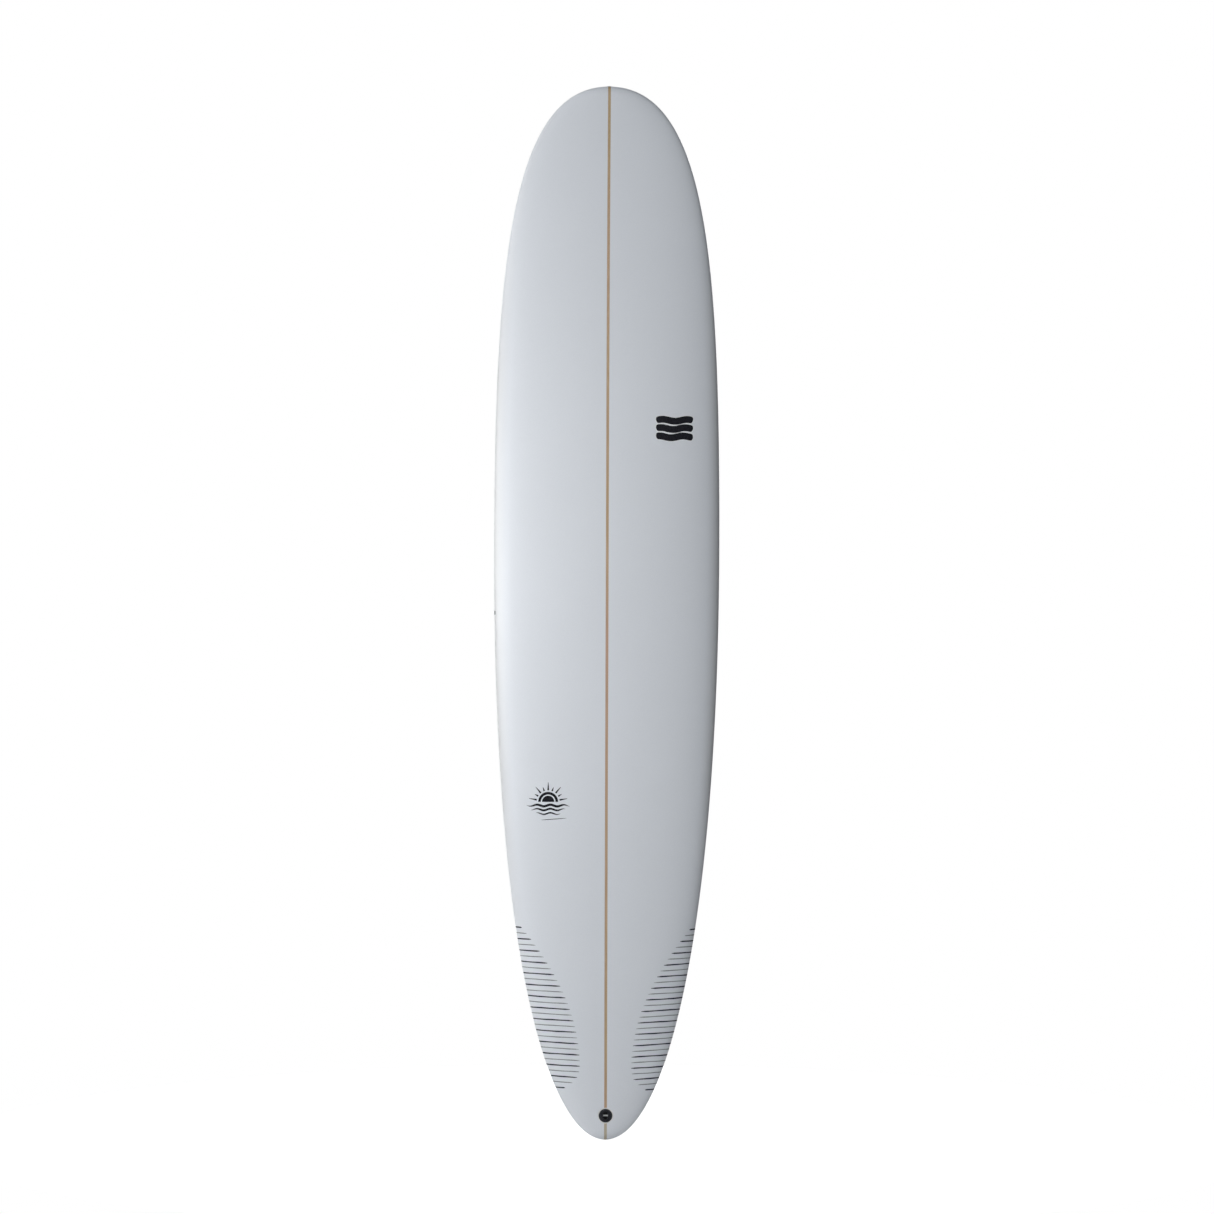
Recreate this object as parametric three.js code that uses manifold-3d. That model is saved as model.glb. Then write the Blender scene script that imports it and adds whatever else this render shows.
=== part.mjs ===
// A nine-foot longboard surfboard with a two-plus-one fin set-up, standing nose up.
//
// +Z runs along the stringer towards the nose. The deck faces -Y, the bottom faces +Y, and +X is the
// right-hand side as one looks at the deck. The origin is on the stringer, in the middle of the flat
// of the bottom. Heights above the bottom are measured towards the deck. Sizes are in millimetres.

import * as THREE from 'three';
import { mergeVertices } from 'three/addons/utils/BufferGeometryUtils.js';
import Module from 'manifold-3d';

const wasm = await Module();
wasm.setup();

const INCH = 25.4;
const DEGREE = Math.PI / 180;
const GAP = 0.3; // left between pieces that touch on the real board

// Board: outline, rocker and thickness.
const LENGTH = 108 * INCH;
const WIDTH = 23.25 * INCH;
const THICKNESS = 3 * INCH;
const WIDE_POINT = 7 * INCH; // ahead of mid-length
const NOSE_CURVE = { round: 259, straight: 730, stations: 11 };
const TAIL_CURVE = { round: 151, straight: 1050, stations: 13 };
const NOSE_ROCKER = { rise: 122, power: 2.4 };
const TAIL_ROCKER = { rise: 68, power: 2.2 };
const FLAT_HALF_LENGTH = 200;
const THICK_POINT = 60; // ahead of mid-length
const THICKNESS_TAPER = { share: 0.74, power: 2.6 };
const TIP_RADIUS = 26; // how the nose and tail round off, seen from the side

// Cross-section: rails are soft in the nose and turn down harder in the tail.
const DECK_CROWN_POWER = 2.3;
const RAIL_HEIGHT = { nose: 0.5, tail: 0.32 }; // of the local thickness, above the bottom
const BOTTOM_FLAT = { nose: 0.68, tail: 0.84 }; // of the half-width
const TAIL_RAIL_LENGTH = 900; // over which the tail's rails change to the nose's
const DECK_STEPS = 10;
const BOTTOM_RAIL_ANGLES = [0, 12, 24, 36, 48];

// Layers: glass-fibre skins over a foam core, which a wooden stringer splits.
const SKIN = 1.6;
const SKIN_SEAM = 0.4;
const CORE_DEPTH = 2.0;
const STRINGER_WIDTH = 6;

// Leash plug, in the deck near the tail.
const LEASH_PLUG_FROM_TAIL = 64;
const LEASH_PLUG = { rim: 17.8, rimDepth: 2, barrel: 15, depth: 16, proud: 0.6 };
const LEASH_CUP = { width: 12.8, length: 22, depth: 13.5 };
const LEASH_BAR = { radius: 2.2, length: 24, depth: 5 };

// Centre fin box, a ten-and-three-quarter-inch slotted box with a T-shaped channel.
const BOX_FROM_TAIL = 285; // to the middle of the box
const BOX = { length: 273, width: 30, flange: 2, bodyLength: 267, bodyWidth: 24, depth: 24, proud: 0.5 };
const CHANNEL = { length: 250, width: 10, depth: 21 };
const GROOVE = { length: 242, width: 16.6, top: 7, floor: 13.6 };
const ENTRY_LENGTH = 16; // opening in the lips at the front, where the nut plate drops in

// Centre fin and its fastening.
const CENTRE_FIN = {
  leading: [[82, 0], [42, 92], [-52, 190], [-142, 186]],
  trailing: [[-82, 0], [-64, 58], [-84, 132], [-142, 186]],
  halfThickness: 4.6,
  lift: 1, // of the blade's root above the box
  spanSteps: 12,
};
const FIN_BASE = { front: 60, back: -80, halfWidth: 4.5, depth: 19 };
const FIN_TAB = { front: 80, top: 2.7, bottom: 6.7 };
const CROSS_PIN = { z: -70, depth: 10.3, radius: 2.3, length: 15.8 };
const FIN_SCREW = { z: 70, radius: 2, headRadius: 4, headHeight: 2.4, tip: 17, clearance: 0.4 };
const NUT_PLATE = { width: 16, length: 13, thickness: 4 };

// Side fins: two small fins, each in two round plugs with a grub screw.
const SIDE_FIN_FROM_TAIL = 372;
const SIDE_FIN_X = 152;
const SIDE_FIN_TOE = 3 * DEGREE;
const SIDE_FIN_CANT = 6 * DEGREE;
const SIDE_FIN = {
  leading: [[51, 0], [28, 48], [-22, 98], [-72, 98]],
  trailing: [[-51, 0], [-40, 26], [-44, 66], [-72, 98]],
  halfThickness: 2.7,
  lift: 1.8,
  spanSteps: 10,
};
const TAB_SPACING = 54;
const TAB = { length: 20, halfWidth: 2.7, depth: 13.5 };
const TAB_CLEARANCE = 0.5;
const SIDE_PLUG = { rim: 15.5, rimDepth: 2, barrel: 14.2, depth: 18, offset: 4, proud: 0.5 };
const GRUB = { radius: 2.4, length: 7, lean: 37 * DEGREE, tipX: 5.2, tipY: -7.5, socket: 1.5, socketDepth: 2.4 };

const material = (color, roughness, metalness = 0) =>
  new THREE.MeshStandardMaterial({ color, roughness, metalness });

const LOOKS = {
  foam: () => material(0xf1f3f4, 0.9),
  wood: () => material(0xb99062, 0.7),
  deck: () => material(0xdfe5ec, 0.2),
  bottom: () => material(0xe3e7ec, 0.22),
  blackPlastic: () => material(0x17181a, 0.35),
  whitePlastic: () => material(0xd9dcdd, 0.4),
  fin: () => material(0x1b1d20, 0.3),
  steel: () => material(0xb4b6b8, 0.3, 1),
  brass: () => material(0xb59a55, 0.35, 1),
};

// ---- Solids ----

/** A manifold solid from a closed geometry. */
function solid(geometry) {
  const bare = geometry.clone();
  bare.deleteAttribute('normal');
  bare.deleteAttribute('uv');
  const merged = mergeVertices(bare, 1e-4);
  return new wasm.Manifold(new wasm.Mesh({
    numProp: 3,
    vertProperties: new Float32Array(merged.attributes.position.array),
    triVerts: new Uint32Array(merged.index.array),
  }));
}

/** The geometry of a manifold solid. */
function shape(body) {
  const mesh = body.getMesh();
  const geometry = new THREE.BufferGeometry();
  geometry.setAttribute('position', new THREE.BufferAttribute(new Float32Array(mesh.vertProperties), 3));
  geometry.setIndex(new THREE.BufferAttribute(new Uint32Array(mesh.triVerts), 1));
  geometry.computeVertexNormals();
  return geometry;
}

const join = (...parts) => shape(parts.map(solid).reduce((whole, part) => whole.add(part)));
const cut = (part, ...tools) => shape(tools.map(solid).reduce((left, tool) => left.subtract(tool), solid(part)));
const overlap = (part, other) => shape(solid(part).intersect(solid(other)));

/** A box between two corners. */
function block([x0, y0, z0], [x1, y1, z1]) {
  const box = new THREE.BoxGeometry(x1 - x0, y1 - y0, z1 - z0);
  return box.translate((x0 + x1) / 2, (y0 + y1) / 2, (z0 + z1) / 2);
}

/** A disc or rod along Y, between two heights. */
function disc(radius, low, high, sides = 24) {
  return new THREE.CylinderGeometry(radius, radius, high - low, sides).translate(0, (low + high) / 2, 0);
}

/** A prism along Y whose outline, in X and Z, has straight sides and round ends. */
function roundEnded(width, length, low, high, steps = 8) {
  const radius = width / 2;
  const reach = length / 2 - radius;
  const outline = new THREE.Shape();
  outline.absarc(0, reach, radius, 0, Math.PI);
  outline.absarc(0, -reach, radius, Math.PI, 2 * Math.PI);
  outline.closePath();
  const options = { depth: high - low, bevelEnabled: false, curveSegments: steps };
  return new THREE.ExtrudeGeometry(outline, options).rotateX(Math.PI / 2).translate(0, high, 0);
}

/** A closed geometry through rings with the same number of points, each end closed by a fan. Each
 *  four-sided face is split along its shorter diagonal. */
function loft(rings) {
  const count = rings[0].length;
  const points = rings.flat();
  const indices = [];
  for (let row = 0; row < rings.length - 1; row++) {
    for (let i = 0; i < count; i++) {
      const a = row * count + i;
      const b = row * count + ((i + 1) % count);
      const c = b + count;
      const d = a + count;
      const shorter = points[a].distanceTo(points[c]) < points[b].distanceTo(points[d]);
      indices.push(...(shorter ? [a, b, c, a, c, d] : [a, b, d, b, c, d]));
    }
  }
  for (let i = 1; i < count - 1; i++) {
    const last = (rings.length - 1) * count;
    indices.push(0, i + 1, i, last, last + i, last + i + 1);
  }
  const geometry = new THREE.BufferGeometry().setFromPoints(points);
  geometry.setIndex(indices);
  return tidy(geometry);
}

/** The same geometry with equal points merged and triangles of no area left out. */
function tidy(geometry) {
  const merged = mergeVertices(geometry, 1e-4);
  const kept = [];
  const index = merged.index.array;
  for (let i = 0; i < index.length; i += 3) {
    const [a, b, c] = index.slice(i, i + 3);
    if (a !== b && b !== c && c !== a) kept.push(a, b, c);
  }
  merged.setIndex(kept);
  merged.computeVertexNormals();
  return merged;
}

// ---- The board's shape ----

/** The half outline from tail tip to nose tip: x is the half-width and y the place along Z. */
function outline() {
  const half = WIDTH / 2;
  const side = (tip, { round, straight, stations }) => {
    const towards = Math.sign(tip);
    return new THREE.CubicBezierCurve(
      new THREE.Vector2(0, tip),
      new THREE.Vector2(round, tip),
      new THREE.Vector2(half, WIDE_POINT + towards * straight),
      new THREE.Vector2(half, WIDE_POINT),
    ).getPoints(stations);
  };
  const tail = side(-LENGTH / 2, TAIL_CURVE);
  const nose = side(LENGTH / 2, NOSE_CURVE).reverse();
  return [...tail, ...nose.slice(1)];
}

/** How far the bottom has risen towards the deck at a place along the board. */
function rocker(z) {
  const { rise, power } = z > 0 ? NOSE_ROCKER : TAIL_ROCKER;
  const beyond = Math.max(0, Math.abs(z) - FLAT_HALF_LENGTH) / (LENGTH / 2 - FLAT_HALF_LENGTH);
  return rise * beyond ** power;
}

function thickness(z) {
  const end = Math.sign(z - THICK_POINT) * (LENGTH / 2);
  const share = (z - THICK_POINT) / (end - THICK_POINT || 1);
  return THICKNESS * (1 - THICKNESS_TAPER.share * share ** THICKNESS_TAPER.power);
}

/** 1 along the board, falling to 0 round each tip on a quarter circle. */
function tipRounding(z) {
  const inside = Math.min(1, Math.max(0, LENGTH / 2 - Math.abs(z)) / TIP_RADIUS);
  return Math.sqrt(1 - (1 - inside) ** 2);
}

/** A value that changes smoothly from the tail's to the nose's. */
function alongRails({ nose, tail }, z) {
  return THREE.MathUtils.lerp(tail, nose, THREE.MathUtils.smoothstep(z + LENGTH / 2, 0, TAIL_RAIL_LENGTH));
}

const deckRise = (share) => Math.sqrt(Math.max(0, 1 - share ** DECK_CROWN_POWER));

function bottomDrop(share, z) {
  const flat = alongRails(BOTTOM_FLAT, z);
  const beyond = Math.max(0, share - flat) / (1 - flat);
  return Math.sqrt(Math.max(0, 1 - beyond ** 2));
}

/** A point of the board's surface, or of one that lies deeper. The angle goes from 0 at the right rail
 *  over the deck to 180 degrees at the left rail, and is negative on the bottom. */
function skinPoint(station, angle, depth) {
  const z = station.y;
  const across = Math.cos(angle);
  const solidPart = thickness(z) - 2 * depth;
  const apex = rocker(z) + depth + alongRails(RAIL_HEIGHT, z) * solidPart;
  const upper = (1 - alongRails(RAIL_HEIGHT, z)) * deckRise(Math.abs(across));
  const lower = -alongRails(RAIL_HEIGHT, z) * bottomDrop(Math.abs(across), z);
  const height = apex + solidPart * tipRounding(z) * (angle >= 0 ? upper : lower);
  const x = across * station.x * (1 - depth / (WIDTH / 2));
  return new THREE.Vector3(x, -height, z * (1 - depth / (LENGTH / 2)));
}

const deckAngles = Array.from({ length: DECK_STEPS + 1 }, (_, i) => (i / DECK_STEPS) * Math.PI);
const railAngles = BOTTOM_RAIL_ANGLES.map((degrees) => -degrees * DEGREE);
const bottomAngles = [...railAngles, -Math.PI / 2, ...railAngles.map((a) => -Math.PI - a).reverse()];

/** A glass-fibre skin over the deck or the bottom. */
function skin(angles, lift = 0) {
  const rings = outline().map((station) => [
    ...angles.map((angle) => skinPoint(station, angle, 0)),
    ...angles.map((angle) => skinPoint(station, angle, SKIN)).reverse(),
  ]);
  const overDeck = angles[1] > 0;
  return loft(overDeck ? rings.map((ring) => ring.reverse()) : rings).translate(0, -lift, 0);
}

/** The whole inside of the board, before it is split. */
function core() {
  const around = [...bottomAngles, ...deckAngles.slice(1, -1).reverse()];
  return loft(outline().map((station) => around.map((angle) => skinPoint(station, angle, CORE_DEPTH))));
}

// ---- Placing ----

/** A frame on the bottom: +Y points out of it and +Z along it towards the nose. */
function bottomSeat(x, z, toe = 0, cant = 0) {
  const step = 1;
  const slope = Math.atan((rocker(z + step) - rocker(z - step)) / (2 * step));
  const seat = new THREE.Group();
  seat.position.set(x, -rocker(z), z);
  seat.rotation.set(slope, toe, cant);
  seat.updateMatrixWorld();
  return seat;
}

/** A frame on the deck's centre line: -Y points out of it and +Z along it towards the nose. */
function deckSeat(z) {
  const step = 1;
  const top = (at) => rocker(at) + thickness(at);
  const seat = new THREE.Group();
  seat.position.set(0, -top(z), z);
  seat.rotation.x = Math.atan((top(z + step) - top(z - step)) / (2 * step));
  seat.updateMatrixWorld();
  return seat;
}

function add(parent, name, geometry, look) {
  const mesh = new THREE.Mesh(geometry, look);
  mesh.name = name;
  parent.add(mesh);
}

// ---- Leash plug ----

const leashSeat = deckSeat(-LENGTH / 2 + LEASH_PLUG_FROM_TAIL);

function leashCup() {
  const { rim, rimDepth, barrel, depth, proud } = LEASH_PLUG;
  const body = join(disc(rim, -proud, rimDepth, 32), disc(barrel, 1, depth, 32));
  const hollow = roundEnded(LEASH_CUP.width, LEASH_CUP.length, -5, LEASH_CUP.depth);
  const socket = leashBar(GAP);
  return cut(body, hollow, socket);
}

function leashBar(grow = 0) {
  const { radius, length, depth } = LEASH_BAR;
  const rod = disc(radius + grow, -length / 2 - grow, length / 2 + grow, 16);
  return rod.rotateZ(Math.PI / 2).translate(0, depth, 0);
}

function leashPocket() {
  const { rim, rimDepth, barrel, depth } = LEASH_PLUG;
  const pocket = join(disc(rim + GAP, -10, rimDepth + GAP, 32), disc(barrel + GAP, 1, depth + GAP, 32));
  return pocket.applyMatrix4(leashSeat.matrixWorld);
}

// ---- Centre fin box ----

const boxSeat = bottomSeat(0, -LENGTH / 2 + BOX_FROM_TAIL);

function finBox() {
  const flange = roundEnded(BOX.width, BOX.length, -BOX.flange, BOX.proud);
  const body = roundEnded(BOX.bodyWidth, BOX.bodyLength, -BOX.depth, -1);
  const channel = roundEnded(CHANNEL.width, CHANNEL.length, -CHANNEL.depth, 5);
  const halfWidth = GROOVE.width / 2;
  const halfLength = GROOVE.length / 2;
  const groove = block([-halfWidth, -GROOVE.floor, -halfLength], [halfWidth, -GROOVE.top, halfLength]);
  const entry = block([-halfWidth, -GROOVE.top - 1, halfLength - ENTRY_LENGTH], [halfWidth, 5, halfLength]);
  return cut(join(flange, body), join(channel, groove, entry));
}

function boxPocket() {
  const flange = roundEnded(BOX.width + 2 * GAP, BOX.length + 2 * GAP, -BOX.flange - GAP, 10);
  const body = roundEnded(BOX.bodyWidth + 2 * GAP, BOX.bodyLength + 2 * GAP, -BOX.depth - GAP, -1);
  return join(flange, body).applyMatrix4(boxSeat.matrixWorld);
}

// ---- Fins ----

/** A fin's blade: foil sections between its leading and trailing edges, from root to tip. */
function blade({ leading, trailing, halfThickness, lift, spanSteps }, outer, inner) {
  const edge = (points) => new THREE.CubicBezierCurve(...points.map(([z, y]) => new THREE.Vector2(z, y)));
  const front = edge(leading);
  const back = edge(trailing);
  const chordSteps = 9;
  const rings = [];
  for (let i = 0; i <= spanSteps; i++) {
    const span = Math.sin((i / spanSteps) * (Math.PI / 2));
    const thick = halfThickness * (1 - 0.75 * span);
    const side = (sign) => (_, k) => {
      const turn = (k / chordSteps) * Math.PI;
      const at = front.getPoint(span).lerp(back.getPoint(span), (1 - Math.cos(turn)) / 2);
      const bulge = (Math.sin(turn) * (1 + Math.cos(turn))) / 1.3;
      return new THREE.Vector3(sign * thick * bulge, at.y + lift, at.x);
    };
    const outside = Array.from({ length: chordSteps + 1 }, side(outer));
    const inside = Array.from({ length: chordSteps + 1 }, side(inner));
    rings.push([...outside, ...inside.slice(1, -1).reverse()]);
  }
  return loft(rings);
}

function centreFin() {
  const { front, back, halfWidth, depth } = FIN_BASE;
  const base = block([-halfWidth, -depth, back], [halfWidth, CENTRE_FIN.lift + 0.5, front]);
  const tab = block([-halfWidth, -FIN_TAB.bottom, front - 2], [halfWidth, -FIN_TAB.top, FIN_TAB.front]);
  const screwHole = disc(FIN_SCREW.radius + FIN_SCREW.clearance, -20, 5, 16).translate(0, 0, FIN_SCREW.z);
  const headRoom = disc(FIN_SCREW.headRadius + 1, -FIN_TAB.top, 5, 20).translate(0, 0, FIN_SCREW.z);
  return cut(join(blade(CENTRE_FIN, 1, -1), base, tab), crossPin(GAP), screwHole, headRoom);
}

function crossPin(grow = 0) {
  const { z, depth, radius, length } = CROSS_PIN;
  const rod = disc(radius + grow, -length / 2 - grow, length / 2 + grow, 16);
  return rod.rotateZ(Math.PI / 2).translate(0, -depth, z);
}

function finScrew() {
  const { z, radius, headRadius, headHeight, tip } = FIN_SCREW;
  const under = -FIN_TAB.top + GAP;
  const shank = disc(radius, -tip, under + 0.5, 16);
  const head = disc(headRadius, under, under + headHeight, 20);
  const driverSlot = block([-headRadius - 1, under + headHeight - 1.2, -0.6], [headRadius + 1, 5, 0.6]);
  return cut(join(shank, head), driverSlot).translate(0, 0, z);
}

function nutPlate() {
  const { width, length, thickness: thick } = NUT_PLATE;
  const top = -GROOVE.top - GAP;
  const plate = block([-width / 2, top - thick, -length / 2], [width / 2, top, length / 2]);
  const hole = disc(FIN_SCREW.radius + GAP, top - thick - 5, top + 5, 16);
  return cut(plate, hole).translate(0, 0, FIN_SCREW.z);
}

function sideFin(side) {
  const tabs = [-1, 1].map((end) => tab(end, TAB.halfWidth, TAB.length / 2, -TAB.depth, SIDE_FIN.lift + 0.6));
  const outside = blade(SIDE_FIN, side * 1.9, side * -0.1);
  return join(side > 0 ? outside : blade(SIDE_FIN, 0.1, -1.9), ...tabs);
}

/** One of the two tabs that hold a side fin, or the hollow for it. */
function tab(end, halfWidth, halfLength, low, high) {
  const middle = (end * TAB_SPACING) / 2;
  return block([-halfWidth, low, middle - halfLength], [halfWidth, high, middle + halfLength]);
}

/** Moves what is drawn round the origin onto a grub screw's axis, its tip near the tab's inner side. */
function ontoGrubAxis(geometry, side, end) {
  geometry.rotateZ(side * GRUB.lean).translate(-side * GRUB.tipX, GRUB.tipY, 0);
  return geometry.rotateZ(-side * SIDE_FIN_CANT).translate(0, 0, (end * TAB_SPACING) / 2);
}

function sidePlug(side, end) {
  const { rim, rimDepth, barrel, depth, offset, proud } = SIDE_PLUG;
  const middle = [-side * offset, 0, (end * TAB_SPACING) / 2];
  const body = join(disc(rim, -rimDepth, proud), disc(barrel, -depth, -1)).translate(...middle);
  const halfWidth = TAB.halfWidth + TAB_CLEARANCE;
  const halfLength = TAB.length / 2 + TAB_CLEARANCE;
  const slot = tab(end, halfWidth, halfLength, -TAB.depth - 1, 5).rotateZ(-side * SIDE_FIN_CANT);
  const screwHole = ontoGrubAxis(disc(GRUB.radius + GAP + 0.1, -2.5, 20, 16), side, end);
  return cut(body, slot, screwHole);
}

function sidePlugPocket(side, end, seat) {
  const { rim, rimDepth, barrel, depth, offset } = SIDE_PLUG;
  const pocket = join(disc(rim + GAP, -rimDepth - GAP, 10), disc(barrel + GAP, -depth - GAP, -1));
  pocket.translate(-side * offset, 0, (end * TAB_SPACING) / 2);
  return pocket.applyMatrix4(seat.matrixWorld);
}

function grubScrew(side, end) {
  const rod = disc(GRUB.radius, 0, GRUB.length, 16);
  const socket = disc(GRUB.socket, GRUB.length - GRUB.socketDepth, GRUB.length + 1, 6);
  return ontoGrubAxis(cut(rod, socket), side, end);
}

// ---- Assembly ----

const board = new THREE.Group();
const SIDES = [['left', -1], ['right', 1]];
const ENDS = [['rear', -1], ['front', 1]];

const sidePockets = { left: [], right: [] };
for (const [sideName, side] of SIDES) {
  const z = -LENGTH / 2 + SIDE_FIN_FROM_TAIL;
  const plugSeat = bottomSeat(side * SIDE_FIN_X, z, -side * SIDE_FIN_TOE);
  const finSeat = bottomSeat(side * SIDE_FIN_X, z, -side * SIDE_FIN_TOE, -side * SIDE_FIN_CANT);
  board.add(plugSeat, finSeat);
  add(finSeat, `side_fin_${sideName}`, sideFin(side), LOOKS.fin());
  for (const [endName, end] of ENDS) {
    add(plugSeat, `side_plug_${sideName}_${endName}`, sidePlug(side, end), LOOKS.whitePlastic());
    add(plugSeat, `grub_screw_${sideName}_${endName}`, grubScrew(side, end), LOOKS.steel());
    sidePockets[sideName].push(sidePlugPocket(side, end, plugSeat));
  }
}

board.add(boxSeat);
add(boxSeat, 'fin_box', finBox(), LOOKS.whitePlastic());
add(boxSeat, 'centre_fin', centreFin(), LOOKS.fin());
add(boxSeat, 'fin_cross_pin', crossPin(), LOOKS.brass());
add(boxSeat, 'fin_screw', finScrew(), LOOKS.steel());
add(boxSeat, 'fin_nut_plate', nutPlate(), LOOKS.steel());

board.add(leashSeat);
add(leashSeat, 'leash_plug_cup', leashCup(), LOOKS.blackPlastic());
add(leashSeat, 'leash_plug_bar', leashBar(), LOOKS.steel());

const inside = core();
const reach = LENGTH;
const halfStringer = STRINGER_WIDTH / 2;
const splitAt = halfStringer + GAP;
const rightHalf = block([splitAt, -reach, -reach], [reach, reach, reach]);
const leftHalf = block([-reach, -reach, -reach], [-splitAt, reach, reach]);
const middle = block([-halfStringer, -reach, -reach], [halfStringer, reach, reach]);
const pockets = [boxPocket(), leashPocket()];

add(board, 'foam_core_left', cut(overlap(inside, leftHalf), ...pockets, ...sidePockets.left), LOOKS.foam());
add(board, 'foam_core_right', cut(overlap(inside, rightHalf), ...pockets, ...sidePockets.right), LOOKS.foam());
add(board, 'stringer', cut(overlap(inside, middle), ...pockets), LOOKS.wood());
add(board, 'deck_laminate', cut(skin(deckAngles, SKIN_SEAM), leashPocket()), LOOKS.deck());
const bottomPockets = [boxPocket(), ...sidePockets.left, ...sidePockets.right];
add(board, 'bottom_laminate', cut(skin(bottomAngles), ...bottomPockets), LOOKS.bottom());

export default board;
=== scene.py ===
"""A nine-foot longboard seen square on to its deck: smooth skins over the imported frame, with the
stringer, the fine lines round the tail, two plain printed marks, the leash plug, the fins and their boxes.

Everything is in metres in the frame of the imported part: +Z to the nose, -Y out of the deck, +X to the
right-hand rail as one looks at the deck.
"""

import math

import bmesh
import bpy
import numpy as np
from mathutils import Matrix, Vector


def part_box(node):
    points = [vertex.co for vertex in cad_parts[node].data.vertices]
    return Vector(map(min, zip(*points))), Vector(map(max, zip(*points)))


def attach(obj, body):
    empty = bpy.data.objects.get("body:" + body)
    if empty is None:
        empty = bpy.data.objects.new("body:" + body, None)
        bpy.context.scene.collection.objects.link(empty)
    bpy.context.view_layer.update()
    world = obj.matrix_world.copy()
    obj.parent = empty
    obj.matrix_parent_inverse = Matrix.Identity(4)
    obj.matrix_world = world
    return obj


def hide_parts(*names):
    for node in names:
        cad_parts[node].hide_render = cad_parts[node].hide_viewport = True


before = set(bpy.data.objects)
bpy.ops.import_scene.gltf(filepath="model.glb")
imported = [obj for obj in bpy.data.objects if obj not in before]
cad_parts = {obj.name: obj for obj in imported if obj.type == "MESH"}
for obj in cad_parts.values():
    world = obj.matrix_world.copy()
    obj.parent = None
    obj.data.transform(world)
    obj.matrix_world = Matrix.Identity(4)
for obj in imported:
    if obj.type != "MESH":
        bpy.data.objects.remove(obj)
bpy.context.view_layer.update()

MM = 0.001

# ---- The board's form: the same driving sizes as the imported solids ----

LOW = np.min([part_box("deck_laminate")[0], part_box("bottom_laminate")[0]], axis=0)
HIGH = np.max([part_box("deck_laminate")[1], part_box("bottom_laminate")[1]], axis=0)
LENGTH = HIGH[2] - LOW[2]
WIDTH = HIGH[0] - LOW[0]
HALF_LENGTH = LENGTH / 2
THICKNESS = 76.2 * MM
WIDE_POINT = 177.8 * MM
NOSE_CURVE = {"round": 259 * MM, "straight": 730 * MM}
TAIL_CURVE = {"round": 151 * MM, "straight": 1050 * MM}
NOSE_ROCKER = {"rise": 122 * MM, "power": 2.4}
TAIL_ROCKER = {"rise": 68 * MM, "power": 2.2}
FLAT_HALF_LENGTH = 200 * MM
THICK_POINT = 60 * MM
THICKNESS_TAPER = {"share": 0.74, "power": 2.6}
TIP_RADIUS = 26 * MM
DECK_CROWN_POWER = 2.3
RAIL_HEIGHT = (0.32, 0.5)  # at the tail and further forward, share of the thickness
BOTTOM_FLAT = (0.84, 0.68)  # at the tail and further forward, share of the half-width
TAIL_RAIL_LENGTH = 900 * MM

# ---- Fittings ----

LEASH_PLUG_FROM_TAIL = 64 * MM
LEASH_RIM = 17.8 * MM
LEASH_BARREL = 15 * MM
LEASH_PROUD = 0.6 * MM
LEASH_SLOT = {"half_width": 6.4 * MM, "half_length": 11 * MM, "depth": 13.5 * MM}
LEASH_BAR = {"radius": 2.2 * MM, "depth": 5 * MM}
BOX_FROM_TAIL = 285 * MM
SIDE_FIN_FROM_TAIL = 372 * MM
SIDE_FIN_X = 152 * MM
SIDE_FIN_TOE = math.radians(3)
SIDE_FIN_CANT = math.radians(6)
SIDE_PLUG_OFFSET = 4 * MM
TAB_SPACING = 54 * MM


def bezier(points, t):
    """Points on a cubic Bezier curve, one row for each t."""
    t = np.asarray(t, float)[..., None]
    a, b, c, d = (np.asarray(p, float) for p in points)
    return a * (1 - t) ** 3 + 3 * b * t * (1 - t) ** 2 + 3 * c * t * t * (1 - t) + d * t**3


def outline_curve(curve, end):
    """The outline from the tip at end (+1 nose, -1 tail) to the wide point, as (half width, z)."""
    tip = end * HALF_LENGTH
    shoulder = WIDE_POINT + end * curve["straight"]
    half = WIDTH / 2
    return [(0, tip), (curve["round"], tip), (half, shoulder), (half, WIDE_POINT)]


OUTLINE_STEPS = np.linspace(0, 1, 3001)
NOSE_LINE = bezier(outline_curve(NOSE_CURVE, 1), OUTLINE_STEPS)
TAIL_LINE = bezier(outline_curve(TAIL_CURVE, -1), OUTLINE_STEPS)
OUTLINE = np.concatenate([TAIL_LINE, NOSE_LINE[::-1][1:]])


def half_width(z):
    return np.interp(z, OUTLINE[:, 1], OUTLINE[:, 0])


def rocker(z):
    """How far the bottom's centre line has risen at z."""
    share = np.clip((np.abs(z) - FLAT_HALF_LENGTH) / (HALF_LENGTH - FLAT_HALF_LENGTH), 0, 1)
    nose = NOSE_ROCKER["rise"] * share ** NOSE_ROCKER["power"]
    tail = TAIL_ROCKER["rise"] * share ** TAIL_ROCKER["power"]
    return np.where(np.asarray(z) > 0, nose, tail)


def thickness(z):
    end = np.where(np.asarray(z) > THICK_POINT, HALF_LENGTH, -HALF_LENGTH)
    share = np.clip((z - THICK_POINT) / (end - THICK_POINT), 0, 1)
    return THICKNESS * (1 - THICKNESS_TAPER["share"] * share ** THICKNESS_TAPER["power"])


def tip_rounding(z):
    short = np.clip((HALF_LENGTH - np.abs(z)) / TIP_RADIUS, 0, 1)
    return np.sqrt(1 - (1 - short) ** 2)


def along_rails(ends, z):
    share = np.clip((z + HALF_LENGTH) / TAIL_RAIL_LENGTH, 0, 1)
    return ends[0] + (ends[1] - ends[0]) * share * share * (3 - 2 * share)


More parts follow.
